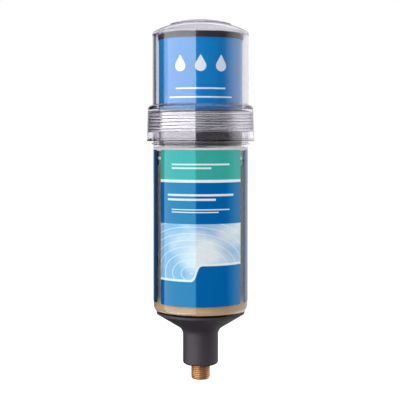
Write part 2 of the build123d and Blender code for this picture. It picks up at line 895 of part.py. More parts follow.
def cover_outside():
    """Dome, drafted wall, rounded shoulder and a skirt that widens to a small lip."""
    top, wall_r, edge_z, apex_z = dome_outline(0)
    low_r = wall_r + cover_draft
    shoulder_r = skirt_diameter_high / 2
    shoulder_z = cover_ledge + shoulder_thickness
    corner = shoulder_radius * (1 - math.cos(math.radians(45)))
    lip_r = skirt_lip_diameter / 2
    wall = Polyline(
        (wall_r, edge_z),
        (low_r, shoulder_z),
        (shoulder_r - shoulder_radius, shoulder_z),
    )
    bend = ThreePointArc(
        (shoulder_r - shoulder_radius, shoulder_z),
        (shoulder_r - corner, shoulder_z - corner),
        (shoulder_r, shoulder_z - shoulder_radius),
    )
    skirt = Polyline(
        (shoulder_r, shoulder_z - shoulder_radius),
        (skirt_diameter_low / 2, skirt_bottom + skirt_lip_height),
        (lip_r, skirt_bottom + skirt_lip_height - skirt_lip),
        (lip_r, skirt_bottom),
        (0, skirt_bottom),
        (0, apex_z),
    )
    solid = turned(top + wall + bend + skirt)
    dome_edge = circles(solid).filter_by_position(Axis.Z, edge_z, edge_z)
    return fillet(dome_edge, cover_edge_radius)


def cover_inside():
    """The dome's inside over the drive, and the wider bore of the skirt over the neck."""
    top, wall_r, edge_z, apex_z = dome_outline(cover_wall)
    bore = Polyline(
        (wall_r, edge_z),
        (wall_r, cover_ledge),
        (skirt_bore / 2, cover_ledge),
        (skirt_bore / 2, skirt_bottom),
        (0, skirt_bottom),
        (0, apex_z),
    )
    return turned(top + bore)


envelope = cartridge_envelope()
skin = label_skin()

pieces = {
    "outlet_nipple": make_outlet_nipple(),
    "support_flange": make_support_flange(envelope),
    "outlet_seal": make_outlet_seal(),
    "cartridge_body": envelope - cartridge_cavity(),
    "front_label": make_front_label(skin),
    "rear_label": make_rear_label(skin),
    "grease_charge": make_grease(),
    "piston_body": make_piston_body(),
    "piston_lower_lip": make_lip(piston_bottom, lower_lip_height),
    "piston_upper_lip": make_lip(upper_lip_bottom, upper_lip_height),
    "piston_nut": make_piston_nut(),
    "spindle": make_spindle(),
    "output_gear": make_output_gear(),
    "idler_gear": make_idler_gear(),
    "idler_axle": make_idler_axle(),
    "motor_pinion": make_motor_pinion(),
    "motor_shaft": make_motor_shaft(),
    "gear_plate": make_gear_plate(),
    "gear_plate_screws": make_screws(plate_boss_circle, plate_boss_angles, gear_plate_top),
    "motor_can": make_motor_can(),
    "motor_end_cap": make_motor_end_cap(),
    "battery_holder": make_battery_holder(),
    "lower_contacts": make_contacts(cell_height - contact_thickness),
    "upper_contacts": make_contacts(cell_height + cell_length, board_gap),
    "circuit_board": make_circuit_board(),
    "rotary_switch": make_rotary_switch(),
    "green_lamp": make_lamp(0),
    "yellow_lamp": make_lamp(1),
    "red_lamp": make_lamp(2),
    "selector_dial": make_selector_dial(),
    "drive_housing": make_drive_housing(),
    "neck_seal": make_neck_seal(),
    "top_plate": make_top_plate(),
    "top_plate_screws": make_screws(top_boss_circle, top_boss_angles, top_screw_height),
    "drive_label": make_drive_label(),
    "clear_cover": cover_outside() - cover_inside(),
}
for index in range(cell_count):
    pieces[f"battery_cell_{index + 1}"] = make_cell(index)

os.makedirs("parts", exist_ok=True)
for name, piece in pieces.items():
    solids = piece if isinstance(piece, list) else piece.solids()
    whole = Compound(children=list(solids)) if len(solids) > 1 else solids[0]
    export_step(whole, f"parts/{name}.step")
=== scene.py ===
import bmesh
import bpy
import json
import math
from mathutils import Matrix, Vector


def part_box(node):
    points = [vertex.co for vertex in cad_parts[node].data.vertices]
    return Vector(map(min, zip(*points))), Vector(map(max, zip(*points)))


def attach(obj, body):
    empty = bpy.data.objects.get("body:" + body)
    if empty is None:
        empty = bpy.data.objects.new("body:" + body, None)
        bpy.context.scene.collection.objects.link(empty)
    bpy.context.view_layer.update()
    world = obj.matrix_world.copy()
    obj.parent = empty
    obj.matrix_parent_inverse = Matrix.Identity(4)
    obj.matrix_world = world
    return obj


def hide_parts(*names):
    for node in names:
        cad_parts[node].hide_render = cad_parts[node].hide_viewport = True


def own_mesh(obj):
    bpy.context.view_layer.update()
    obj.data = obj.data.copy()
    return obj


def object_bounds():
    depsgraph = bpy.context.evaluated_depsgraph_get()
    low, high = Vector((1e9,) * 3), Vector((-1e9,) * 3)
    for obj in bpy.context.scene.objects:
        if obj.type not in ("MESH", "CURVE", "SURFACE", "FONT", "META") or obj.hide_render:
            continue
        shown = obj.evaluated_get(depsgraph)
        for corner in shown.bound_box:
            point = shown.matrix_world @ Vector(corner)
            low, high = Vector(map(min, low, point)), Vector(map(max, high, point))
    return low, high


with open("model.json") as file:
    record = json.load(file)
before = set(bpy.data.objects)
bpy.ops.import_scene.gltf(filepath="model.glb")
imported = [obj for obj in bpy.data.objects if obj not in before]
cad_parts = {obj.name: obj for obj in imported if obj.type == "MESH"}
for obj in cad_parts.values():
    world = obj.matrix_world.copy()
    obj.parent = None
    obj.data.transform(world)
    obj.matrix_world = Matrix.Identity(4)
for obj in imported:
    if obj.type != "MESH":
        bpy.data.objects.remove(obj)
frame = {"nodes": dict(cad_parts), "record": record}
cadLow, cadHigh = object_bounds()
print("frame loaded:", len(frame["nodes"]), "nodes")

mm = 0.001  # sizes here are in millimetres, and the frame's are in metres


def span(node):
    low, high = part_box(node)
    return low / mm, high / mm


coverLow, coverHigh = span("clear_cover")
bodyLow, bodyHigh = span("cartridge_body")
labelLow, labelHigh = span("front_label")
rearLow, rearHigh = span("rear_label")
filmLow, filmHigh = span("drive_label")
greaseLow, greaseHigh = span("grease_charge")
nippleLow, nippleHigh = span("outlet_nipple")
spindleLow, spindleHigh = span("spindle")


def operator(operation):
    # an operator and its reflected form, so that 1 - mask works
    return (
        lambda wire, other: calculate(operation, wire, other),
        lambda wire, other: calculate(operation, other, wire),
    )


class Wire:
    # one output of a node, so that a sum of wires adds its Math nodes
    __add__, __radd__ = operator("ADD")
    __sub__, __rsub__ = operator("SUBTRACT")
    __mul__, __rmul__ = operator("MULTIPLY")
    __truediv__, __rtruediv__ = operator("DIVIDE")

    def __init__(self, socket):
        self.socket = socket

    def __neg__(self):
        return self * -1.0

    def math(self, operation, *others):
        return calculate(operation, self, *others)

    def clamped(self):
        return self.math("MAXIMUM", 0.0).math("MINIMUM", 1.0)

    def other(self, name):
        # another output of the same node
        return Wire(self.socket.node.outputs[name])


def calculate(operation, *values):
    # one Math node on values of which at least one is a wire
    tree = next(value.socket.id_data for value in values if isinstance(value, Wire))
    node = tree.nodes.new("ShaderNodeMath")
    node.operation = operation
    for slot, value in enumerate(values):
        plug(node.inputs[slot], value)
    return Wire(node.outputs[0])


def plug(socket, value):
    if isinstance(value, Wire):
        socket.id_data.links.new(value.socket, socket)
    else:
        socket.default_value = value


class Graph:
    # a node tree, in which every node that isn't plain maths comes from add
    def __init__(self, tree):
        self.tree = tree
        tree.nodes.clear()

    def add(self, kind, settings=None, values=None, output=0):
        node = self.tree.nodes.new(kind)
        for name, value in (settings or {}).items():
            setattr(node, name, value)
        for name, value in (values or {}).items():
            plug(node.inputs[name], value)
        return Wire(node.outputs[output]) if node.outputs else node

    def noise(self, place, scale, detail=3.0, rough=0.5):
        values = {"Vector": place, "Scale": scale, "Detail": detail, "Roughness": rough}
        return self.add("ShaderNodeTexNoise", {}, values)

    def mix(self, factor, first, second):
        return self.add("ShaderNodeMix", {"data_type": "RGBA"}, {0: factor, 6: first, 7: second}, 2)

    def blend(self, factor, first, second):
        # of two shaders
        return self.add("ShaderNodeMixShader", {}, {0: factor, 1: first, 2: second})

    def stretch(self, place, scale):
        return self.add("ShaderNodeMapping", {}, {"Vector": place, "Scale": scale})

    def vector(self, operation, output, *values):
        return self.add("ShaderNodeVectorMath", {"operation": operation}, dict(enumerate(values)), output)

    def axes(self, place):
        split = self.add("ShaderNodeSeparateXYZ", {}, {0: place})
        return split, split.other("Y"), split.other("Z")

    def ray(self, kind):
        return self.add("ShaderNodeLightPath", {}, {}, kind)

    def bumped(self, height, strength, distance):
        return self.add("ShaderNodeBump", {}, {"Height": height, "Strength": strength, "Distance": distance})

    def surface(self, values):
        shader = self.add("ShaderNodeBsdfPrincipled", {}, values)
        self.add("ShaderNodeOutputMaterial", {}, {"Surface": shader})


def paint(red, green, blue):
    # a colour as a screen shows it, 0 to 255, made linear
    def linear(value):
        value = value / 255
        return value / 12.92 if value <= 0.04045 else ((value + 0.055) / 1.055) ** 2.4
    return (linear(red), linear(green), linear(blue), 1.0)


def edgeMask(value, edge, soft):
    # 0 below the edge and 1 above it
    return ((value - edge) / soft + 0.5).clamped()


def bandMask(value, low, high, soft):
    return edgeMask(value, low, soft) * (1 - edgeMask(value, high, soft))


def newMaterial(name):
    material = bpy.data.materials.new(name)
    material.use_nodes = True
    return material, Graph(material.node_tree)


def newFinish(name):
    # a material, its nodes, and the place on the piece that its patterns read
    material, graph = newMaterial(name)
    return material, graph, graph.add("ShaderNodeTexCoord", {}, {}, "Object")


blackGrain = {"cloudScale": 35.0, "fineScale": 1800.0, "sheen": 0.12, "bump": 0.25, "depth": 0.00004}
smoothGrain = {"cloudScale": 60.0, "fineScale": 900.0, "sheen": 0.08, "bump": 0.10, "depth": 0.00003}
inkGrain = {"cloudScale": 300.0, "fineScale": 2600.0, "sheen": 0.10, "bump": 0.20, "depth": 0.00002}


def mouldedPlastic(name, dark, light, gloss, grain=smoothGrain):
    # a moulded part: fine spark-eroded grain, cloudy colour and a slightly uneven sheen
    material, graph, place = newFinish(name)
    cloud = graph.noise(place, grain["cloudScale"], 4.0)
    fine = graph.noise(place, grain["fineScale"], 2.0, 0.6)
    graph.surface({
        "Base Color": graph.mix((cloud * 1.6 - 0.3).clamped(), paint(*dark), paint(*light)),
        "Roughness": gloss + (cloud - 0.5) * grain["sheen"],
        "Normal": graph.bumped(fine, grain["bump"], grain["depth"]),
    })
    return material


turning = {
    "markScale": 30.0,
    "markSheen": 0.10,
    "markBump": 0.25,
    "markDepth": 0.00002,
    "patchScale": 90.0,
    "patchSheen": 0.15,
}


def turnedMetal(name, dark, light, gloss, markDensity, metal=1.0, thread=None):
    # fine tool marks round the axis, with tarnish in patches;
    # a thread is given as its root's radius, its crest's radius and the colour of the shade painted in its
    # roots
    material, graph, place = newFinish(name)
    stretched = graph.stretch(place, (turning["markScale"], turning["markScale"], markDensity))
    marks = graph.noise(stretched, 1.0, 3.0, 0.7)
    patches = graph.noise(place, turning["patchScale"])
    color = graph.mix((patches * 1.5 - 0.25).clamped(), paint(*dark), paint(*light))
    if thread:
        root, crest, rootShade = thread
        across = graph.vector("MULTIPLY", 0, place, (1.0, 1.0, 0.0))
        radius = graph.vector("LENGTH", "Value", across)
        # painted shade: the thread darkens from its crest down into its roots
        color = graph.mix(((radius / mm - root) / (crest - root)).clamped(), paint(*rootShade), color)
    graph.surface({
        "Base Color": color,
        "Metallic": metal,
        "Roughness": gloss + (patches - 0.5) * turning["patchSheen"] + (marks - 0.5) * turning["markSheen"],
        "Normal": graph.bumped(marks, turning["markBump"], turning["markDepth"]),
    })
    return material


sealLook = {
    "dark": paint(22, 21, 22),
    "light": paint(40, 38, 38),
    "grainScale": 2600.0,
    "grainBump": 0.2,
    "grainDepth": 0.00002,
    "dustScale": 120.0,
    "gloss": 0.42,
    "shine": 0.12,  # wet with grease against the wall, it hardly shines
}


def sealRubber(name, look):
    material, graph, place = newFinish(name)
    grain = graph.noise(place, look["grainScale"], 2.0)
    dust = graph.noise(place, look["dustScale"], 4.0)
    graph.surface({
        "Base Color": graph.mix((dust * 1.6 - 0.4).clamped(), look["dark"], look["light"]),
        "Roughness": look["gloss"] + (dust - 0.5) * 0.2,
        "Specular IOR Level": look["shine"],
        "Normal": graph.bumped(grain, look["grainBump"], look["grainDepth"]),
    })
    return material


clearLook = {
    "tint": (0.985, 0.980, 0.985, 1.0),
    # painted shade: the cover's skirt foot is tinted dark, as a dark line along it
    "paintedFootShade": (0.20, 0.17, 0.22, 1.0),
    "index": 1.49,
    "polish": 0.012,
    "waviness": 0.012,
    "waveDepth": 0.0004,
    "waveScale": (60.0, 60.0, 25.0),
    "scuffScale": 240.0,
    "threadMirror": 0.11,
    "threadFrost": 0.07,
    "haze": (0.86, 0.83, 0.86, 1.0),
    # painted shade: the see-through tint towards the dome's outline
    "rimShade": (0.34, 0.32, 0.38, 1.0),
    "rimPower": 4.0,
    "rimShare": 0.9,
    "lampTint": (0.93, 0.92, 0.93, 1.0),
    "smoke": (0.49, 0.44, 0.60, 1.0),
    "smokeDensity": 76.0,
}


def clearPlastic(name, look):
    # polished clear moulding: refracting, a little smoky through its length, open to lamp light,
    # and on the dome painted with shade, darker towards the outline
    material, graph, place = newFinish(name)
    wave = graph.noise(graph.stretch(place, look["waveScale"]), 1.0, 2.0)
    scuffs = graph.noise(place, look["scuffScale"], 4.0, 0.7)
    threaded, mirroring, domed, footShaded, hazy = (
        graph.add("ShaderNodeAttribute", {"attribute_name": share}, {}, "Fac")
        for share in ("threadShare", "mirrorShare", "domeShare", "footShadeShare", "hazeShare")
    )
    glass = graph.add("ShaderNodeBsdfPrincipled", {}, {
        # painted shade: a dark tint on the skirt's foot
        "Base Color": graph.mix(footShaded.clamped(), look["tint"], look["paintedFootShade"]),
        "Metallic": mirroring * look["threadMirror"],
        "IOR": look["index"],
        "Transmission Weight": 1.0,
        "Roughness": ((scuffs - 0.62) * 0.3).clamped() + look["polish"] + threaded * look["threadFrost"],
        "Normal": graph.bumped(wave, look["waviness"], look["waveDepth"]),
    })
    milky = graph.add("ShaderNodeBsdfDiffuse", {}, {"Color": look["haze"]})
    shade = graph.add("ShaderNodeBsdfTransparent", {}, {"Color": look["rimShade"]})
    facing = graph.add("ShaderNodeLayerWeight", {}, {"Blend": 0.5}, "Facing")
    # painted shade, darker towards the dome's outline
    rim = facing.math("POWER", look["rimPower"]) * domed.clamped() * look["rimShare"]
    wall = graph.blend(rim.clamped(), graph.blend(hazy.clamped(), glass, milky), shade)
    through = graph.add("ShaderNodeBsdfTransparent", {}, {"Color": look["lampTint"]})
    mirrored = graph.ray("Glossy Depth")  # such a ray leaves the dome at once
    surface = graph.blend((graph.ray("Is Shadow Ray") + mirrored * domed).clamped(), wall, through)
    smoke = {"Color": look["smoke"], "Density": look["smokeDensity"]}
    volume = graph.add("ShaderNodeVolumeAbsorption", {}, smoke)
    graph.add("ShaderNodeOutputMaterial", {}, {"Surface": surface, "Volume": volume})
    return material


# print on the films: heights are the part's own, and distances run round it from the front

frontPrint = {
    "teal": paint(58, 170, 160),
    "white": paint(238, 246, 247),
    "blue": paint(0, 99, 170),
    "sky": paint(140, 184, 228),
    "cloud": paint(232, 240, 246),
    "cloudScale": (42.0, 42.0, 60.0),
    "whiteLineTop": 126.75,
    "whiteLineBottom": 124.9,
    "pictureTop": 98.1,
    "glowAt": (-4.0, 80.0),
    "glowReach": (20.0, 15.0),
    "ringsAt": (-6.0, 66.0),
    "ringGap": 6.4,
    "footLeft": 60.6,
    "footRight": 71.0,
    "stepAt": -2.6,
    "stepWidth": 10.5,
    "footLine": 0.75,
    "bars": (
        (136.6, 0.55, -20.2, 20.2),
        (134.2, 0.55, -20.2, 7.0),
        (116.8, 0.7, -23.5, 23.5),
        (113.9, 0.7, -23.5, 10.0),
        (107.4, 0.35, -20.2, 20.2),
        (105.7, 0.35, -20.2, 12.0),
    ),
    "grain": paint(0, 40, 90),
    "grainScale": 500.0,
    "smooth": 0.10,
    "gloss": 0.95,
    "gleam": (0.22, 0.88, 1.0, 1.0),  # a little bluer than the lamp
}
rearPrint = {
    "dark": paint(4, 58, 104),
    "light": paint(10, 68, 118),
    "grainScale": 420.0,
    "smooth": 0.12,
    "gloss": 0.55,
    "gleam": (0.80, 0.93, 1.0, 1.0),
}
drivePrint = {
    **rearPrint,
    "dark": paint(0, 124, 192),
    "light": paint(4, 131, 200),
    "gloss": 0.95,
    "white": paint(240, 247, 250),
    "drops": (-13.5, 0.0, 13.5),
    "dropHeight": 202.0,
    "dropRadius": 3.6,
    "dropBelow": 1.9,
    "dropTip": 5.3,
    "dropSlope": 0.577,
    "bars": (
        (185.6, 0.5, -16.7, 16.7),
        (180.0, 0.5, -22.0, 22.0),
    ),
}
printSoft = 0.15  # the width over which a printed edge fades
barSoft = 0.12


def wrapped(graph, place, radius):
    # the way round the front, as a length of arc, and the height
    x, y, z = (axis / mm for axis in graph.axes(place))
    return x.math("ARCTAN2", -y) * radius, z


def joined(masks):
    whole = masks[0]
    for mask in masks[1:]:
        whole = whole.math("MAXIMUM", mask)
    return whole


def barMask(around, height, rows):
    # short plain bars, each given by the height of its middle, half its thickness, and its two ends
    return joined([
        bandMask(height, middle - half, middle + half, barSoft) * bandMask(around, start, end, barSoft)
        for middle, half, start, end in rows
    ])


def dropMask(x, y, look):
    # an oil drop: a circle with a point drawn up from it
    low = y + look["dropBelow"]
    circle = 1 - edgeMask((x * x + low * low).math("SQRT"), look["dropRadius"], printSoft)
    cone = 1 - edgeMask(x.math("ABSOLUTE") - (look["dropTip"] - y) * look["dropSlope"], 0.0, printSoft)
    return circle.math("MAXIMUM", cone * bandMask(y, -0.1, look["dropTip"], 0.1))


def filmSurface(graph, place, color, grain, look):
    # the laminate over the print, with the gentle waves in which it lies
    graph.surface({
        "Base Color": color,
        "Roughness": look["smooth"] + (grain - 0.5) * 0.06,
        "Specular IOR Level": look["gloss"],
        "Specular Tint": look["gleam"],
        "Normal": graph.bumped(graph.noise(place, 45.0, 2.0), 0.06, 0.0004),
    })


def skyPicture(graph, place, around, height, look):
    # pale sky with soft clouds and a glow, and the rings that a drop leaves
    clouds = graph.noise(graph.stretch(place, look["cloudScale"]), 1.0, 2.0, 0.4)
    glowAt = (around - look["glowAt"][0]) / look["glowReach"][0]
    glowUp = (height - look["glowAt"][1]) / look["glowReach"][1]
    glow = (1 - (glowAt * glowAt + glowUp * glowUp)).clamped()
    light = (clouds * 2.4 - 0.95 + glow * 0.9 + around * 0.012).clamped()
    sky = graph.mix(light, look["sky"], look["cloud"])
    ringAt, ringUp = around - look["ringsAt"][0], (height - look["ringsAt"][1]) * 1.5
    phase = ((ringAt * ringAt + ringUp * ringUp).math("SQRT") / look["ringGap"]).math("FRACT")
    return graph.mix(bandMask(phase, 0.06, 0.15, 0.05) * 0.8, sky, look["white"])


def frontFilm(name, look):
    material, graph, place = newFinish(name)
    around, height = wrapped(graph, place, rearHigh.x)

    # the foot's upper edge: level, an S-shaped step, and level again
    share = edgeMask(around, look["stepAt"], look["stepWidth"])
    left, right = share * share * share, (1 - share) * (1 - share) * (1 - share)
    rise = left / (left + right)
    foot = height - (look["footLeft"] + (look["footRight"] - look["footLeft"]) * rise)
    slope = 1 + rise * (1 - rise) * 8.0
    inFoot = 1 - edgeMask(foot, 0.0, printSoft)
    line = bandMask(foot / slope, -0.1, 2 * look["footLine"] - 0.1, 0.2)

    color = graph.mix(inFoot, skyPicture(graph, place, around, height, look), look["blue"])
    color = graph.mix(line, color, look["white"])
    for edge, ink in (("pictureTop", "blue"), ("whiteLineBottom", "white"), ("whiteLineTop", "teal")):
        color = graph.mix(edgeMask(height, look[edge], printSoft), color, look[ink])
    color = graph.mix(barMask(around, height, look["bars"]) * 0.92, color, look["white"])
    grain = graph.noise(place, look["grainScale"])
    color = graph.mix((grain * 1.2 - 0.3).clamped() * 0.10, color, look["grain"])
    filmSurface(graph, place, color, grain, look)
    return material


def plainFilm(name, look):
    # a wrapped film of one ink with a faint print grain; the drive's has drops and bars on it
    material, graph, place = newFinish(name)
    around, height = wrapped(graph, place, filmHigh.x)
    grain = graph.noise(place, look["grainScale"])
    color = graph.mix((grain * 1.4 - 0.2).clamped(), look["dark"], look["light"])
    if "drops" in look:
        up = height - look["dropHeight"]
        drops = joined([dropMask(around - middle, up, look) for middle in look["drops"]])
        printed = drops.math("MAXIMUM", barMask(around, height, look["bars"]))
        color = graph.mix(printed * 0.95, color, look["white"])
    filmSurface(graph, place, color, grain, look)
    return material


greaseLook = {
    "bright": (paint(194, 164, 122), paint(212, 183, 142)),
    "shaded": (paint(112, 100, 80), paint(128, 116, 94)),  # little light gets in between the labels
    "shadeAbove": 2.5,
    "shadeFade": 5.0,
    "streakScale": (40.0, 40.0, 260.0),
    "lumpScale": 160.0,
    "gloss": 0.38,
    "shine": 0.15,
}


def greasePaste(name, look):
    # soft grease against the wall: faintly streaked by filling, a little lumpy, and painted in darker tones
    # above the front label's foot as shade
    material, graph, place = newFinish(name)
    streaks = graph.noise(graph.stretch(place, look["streakScale"]), 1.0, 5.0, 0.6)
    lumps = graph.noise(place, look["lumpScale"])
    streaked = (streaks * 1.8 - 0.4).clamped()
    height = wrapped(graph, place, rearHigh.x)[1]
    # painted shade: above the front label's foot the paste takes its shaded tones
    shade = edgeMask(height, labelLow.z + look["shadeAbove"], look["shadeFade"])
    bright, shaded = (graph.mix(streaked, *look[tones]) for tones in ("bright", "shaded"))
    graph.surface({
        "Base Color": graph.mix(shade, bright, shaded),
        "Specular IOR Level": look["shine"],
        "Roughness": look["gloss"] + (lumps - 0.5) * 0.2,
        "Normal": graph.bumped(lumps, 0.2, 0.0003),
    })
    return material


boardLook = {
    "dark": paint(16, 92, 48),
    "light": paint(38, 128, 70),
    "weaveScale": 900.0,
    "trackScale": 260.0,
    "trackWidth": 0.03,
    "gloss": 0.35,
}


def circuitLaminate(name, look):
    material, graph, place = newFinish(name)
    weaving = {"Vector": place, "Scale": look["weaveScale"], "Distortion": 1.0}
    weave = graph.add("ShaderNodeTexWave", {"wave_type": "BANDS"}, weaving)
    routing = {"Vector": place, "Scale": look["trackScale"], "Mortar Size": look["trackWidth"]}
    tracks = graph.add("ShaderNodeTexBrick", {}, routing, "Fac")
    graph.surface({
        "Base Color": graph.mix(tracks.clamped(), look["dark"], look["light"]),
        "Roughness": look["gloss"] + (weave - 0.5) * 0.1,
        "Normal": graph.bumped(weave, 0.1, 0.00003),
    })
    return material


# the finish of each material slot: its name, its darker and lighter tone, its roughness,
# and for metal how close its tool marks are
finishes = {
    "clear_plastic": clearPlastic("clearPart", clearLook),
    "black_plastic": mouldedPlastic("blackPlastic", (50, 43, 53), (61, 53, 64), 0.58, blackGrain),
    "natural_plastic": mouldedPlastic("naturalPlastic", (216, 212, 198), (234, 230, 218), 0.40),
    "white_gear_plastic": mouldedPlastic("gearPlastic", (224, 222, 210), (238, 236, 226), 0.32),
    "dial_plastic": mouldedPlastic("dialPlastic", (222, 186, 38), (238, 202, 56), 0.38),
    "cell_jacket": mouldedPlastic("cellJacket", (34, 36, 42), (52, 54, 62), 0.25),
    "green_lens": mouldedPlastic("greenLens", (34, 132, 60), (58, 164, 84), 0.12),
    "yellow_lens": mouldedPlastic("yellowLens", (216, 172, 30), (238, 200, 60), 0.12),
    "red_lens": mouldedPlastic("redLens", (176, 34, 28), (204, 54, 44), 0.12),
    "nut_brass": turnedMetal("nutBrass", (204, 172, 98), (226, 196, 122), 0.28, 1200.0),
    "bright_steel": turnedMetal("brightSteel", (188, 189, 192), (214, 215, 218), 0.22, 1200.0),
    "motor_steel": turnedMetal("canSteel", (176, 178, 182), (200, 202, 206), 0.30, 300.0),
    "contact_steel": turnedMetal("leafSteel", (206, 207, 210), (224, 225, 228), 0.18, 400.0),
    "black_rubber": sealRubber("sealRubber", sealLook),
    "grease": greasePaste("greasePaste", greaseLook),
    "front_film": frontFilm("frontFilm", frontPrint),
    "rear_film": plainFilm("rearFilm", rearPrint),
    "drive_film": plainFilm("driveFilm", drivePrint),
    "board_laminate": circuitLaminate("boardLaminate", boardLook),
}
driveBlack = mouldedPlastic("driveBlack", (34, 31, 35), (44, 41, 45), 0.42, blackGrain)
scaleInk = mouldedPlastic("scaleInk", (222, 224, 222), (242, 243, 241), 0.45, inkGrain)
print("finishes ready:", len(finishes) + 2)


def addObject(name, data):
    piece = bpy.data.objects.new(name, data)
    bpy.context.scene.collection.objects.link(piece)
    return piece


def addMesh(name, vertices, faces):
    mesh = bpy.data.meshes.new(name)
    mesh.from_pydata(vertices, [], faces)
    return addObject(name, mesh)


def plainMesh(piece):
    # what the piece's modifiers or letters make, as a mesh
    bpy.context.view_layer.update()
    dependencies = bpy.context.evaluated_depsgraph_get()
    return bpy.data.meshes.new_from_object(piece.evaluated_get(dependencies))


def rounded(corners, turnStep=9.0):
    # an outline of (radius, height, corner radius), with each corner drawn as an arc
    points = []
    for index, (r, z, fillet) in enumerate(corners):
        if fillet <= 0:
            points.append((r, z))
            continue
        corner = Vector((r, z))
        back = (Vector(corners[index - 1][:2]) - corner).normalized()
        ahead = (Vector(corners[(index + 1) % len(corners)][:2]) - corner).normalized()
        opening = back.angle(ahead)
        centre = corner + (back + ahead).normalized() * fillet / math.sin(opening / 2)
        start = corner + back * fillet / math.tan(opening / 2) - centre
        end = corner + ahead * fillet / math.tan(opening / 2) - centre
        steps = max(3, math.ceil(math.degrees(math.pi - opening) / turnStep))
        for step in range(steps + 1):
            point = centre + start.slerp(end, step / steps).normalized() * fillet
            points.append((point.x, point.y))
    return points


def straight(radius, low, high, gap):
    # points up a wall, close enough for a thread to be raised on them
    steps = max(1, round((high - low) / gap))
    return [(radius, low + (high - low) * k / steps) for k in range(steps + 1)]


def lathe(name, outline, segments, marks=None):
    # turns a closed outline; marks gives each point a share from 0 to 1, by the attribute's name
    vertices = []
    rings = []
    for r, z in outline:
        ring = []
        for step in range(segments if r > 1e-6 else 1):
            turn = 2 * math.pi * step / segments
            ring.append(len(vertices))
            vertices.append((r * math.cos(turn) * mm, r * math.sin(turn) * mm, z * mm))
        rings.append(ring)
    faces = []
    for ring, following in zip(rings, rings[1:] + rings[:1]):
        if len(ring) == 1 and len(following) == 1:
            continue
        for step in range(segments):
            after = (step + 1) % segments
            if len(ring) == 1:
                faces.append((ring[0], following[after], following[step]))
            elif len(following) == 1:
                faces.append((ring[step], ring[after], following[0]))
            else:
                faces.append((ring[step], ring[after], following[after], following[step]))
    piece = addMesh(name, vertices, faces)
    for mark, share in (marks or {}).items():
        values = [share(r, z) for (r, z), ring in zip(outline, rings) for point in ring]
        piece.data.attributes.new(mark, "FLOAT", "POINT").data.foreach_set("value", values)
    return piece


def smoothMesh(piece, angle=32.0):
    mesh = piece.data
    shape = bmesh.new()
    shape.from_mesh(mesh)
    bmesh.ops.remove_doubles(shape, verts=shape.verts, dist=1e-7)
    bmesh.ops.recalc_face_normals(shape, faces=shape.faces)
    shape.to_mesh(mesh)
    shape.free()
    mesh.shade_smooth()
    mesh.set_sharp_from_angle(angle=math.radians(angle))
    return piece


def fitPiece(piece, body, slotName, replaced, finish=None):
    # in its slot's finish, unless it has one of its own
    piece.data.materials.clear()
    piece.data.materials.append(finish or finishes[slotName])
    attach(piece, body)
    if replaced:
        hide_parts(*replaced)


def newTree(name, inputs):
    # a Geometry Nodes tree with named inputs: its graph, and the wires of the inputs
    tree = bpy.data.node_groups.new(name, "GeometryNodeTree")
    for label, kind in inputs.items():
        tree.interface.new_socket(label, in_out="INPUT", socket_type="NodeSocket" + kind)
    tree.interface.new_socket("Geometry", in_out="OUTPUT", socket_type="NodeSocketGeometry")
    graph = Graph(tree)
    given = graph.add("NodeGroupInput")
    return graph, {label: given.other(label) for label in inputs}


def endTree(graph, shape, finish):
    realized = graph.add("GeometryNodeRealizeInstances", {}, {"Geometry": shape})
    painted = graph.add("GeometryNodeSetMaterial", {}, {"Geometry": realized, "Material": finish})
    graph.add("NodeGroupOutput", {}, {0: painted})
    return graph.tree


def runTree(piece, tree, settings):
    # gives the piece what the tree makes of it, as a plain mesh
    modifier = piece.modifiers.new(tree.name, "NODES")
    modifier.node_group = tree
    for socket in tree.interface.items_tree:
        if socket.in_out == "INPUT" and socket.name in settings:
            modifier[socket.identifier] = settings[socket.name]
    made = plainMesh(piece)
    piece.modifiers.remove(modifier)
    made.name = piece.name
    piece.data = made


def threadTree():
    graph, given = newTree("raisedThread", {
        "Geometry": "Geometry", "Pitch": "Float", "Starts": "Float", "Depth": "Float",
        "Sharpness": "Float", "Offset": "Float", "Finish": "Material",
    })
    x, y, z = graph.axes(graph.add("GeometryNodeInputPosition"))
    turn = y.math("ARCTAN2", x) / (2 * math.pi)
    phase = (z / given["Pitch"] - turn * given["Starts"] + given["Offset"]).math("FRACT")
    ridge = (0.5 - (phase * (2 * math.pi)).math("COSINE") * 0.5).math("POWER", given["Sharpness"])
    share = graph.add("GeometryNodeInputNamedAttribute", {"data_type": "FLOAT"}, {"Name": "threadShare"})
    rise = ridge * share * given["Depth"]
    radius = (x * x + y * y).math("SQRT").math("MAXIMUM", 1e-6)
    outwards = graph.add("ShaderNodeCombineXYZ", {}, {"X": x / radius * rise, "Y": y / radius * rise})
    raised = {"Geometry": given["Geometry"], "Offset": outwards}
    return endTree(graph, graph.add("GeometryNodeSetPosition", {}, raised), given["Finish"])


raisedThread = threadTree()


def cutThread(piece, slotName, thread):
    # a crest inside the root cuts inwards, and less sharpness makes the ridges broader
    runTree(piece, raisedThread, {
        "Pitch": thread["pitch"] * mm,
        "Starts": thread["starts"],
        "Depth": (thread["crest"] - thread["root"]) * mm,
        "Sharpness": thread["sharpness"],
        "Offset": thread["offset"],
        "Finish": finishes[slotName],
    })


def threadMark(thread):
    # where the thread is raised: all along its root's radius, running out at both ends
    def share(r, z):
        inside = min(z - thread["low"], thread["high"] - z) / thread["fade"]
        return max(0.0, min(1.0, inside)) if abs(r - thread["root"]) < 0.02 else 0.0
    return share


def mirrorMark(size):
    # how well the threaded wall mirrors: one share under the thread, and less towards its top
    thread = size["thread"]

    def share(r, z):
        if abs(r - thread["root"]) > 0.02 or z > thread["high"] + 0.4:
            return 0.0
        if z < thread["low"] - 0.4:
            return size["plainMirror"]
        return min(1.0, max(size["topMirror"], (thread["high"] - z) / size["mirrorFade"]))
    return share


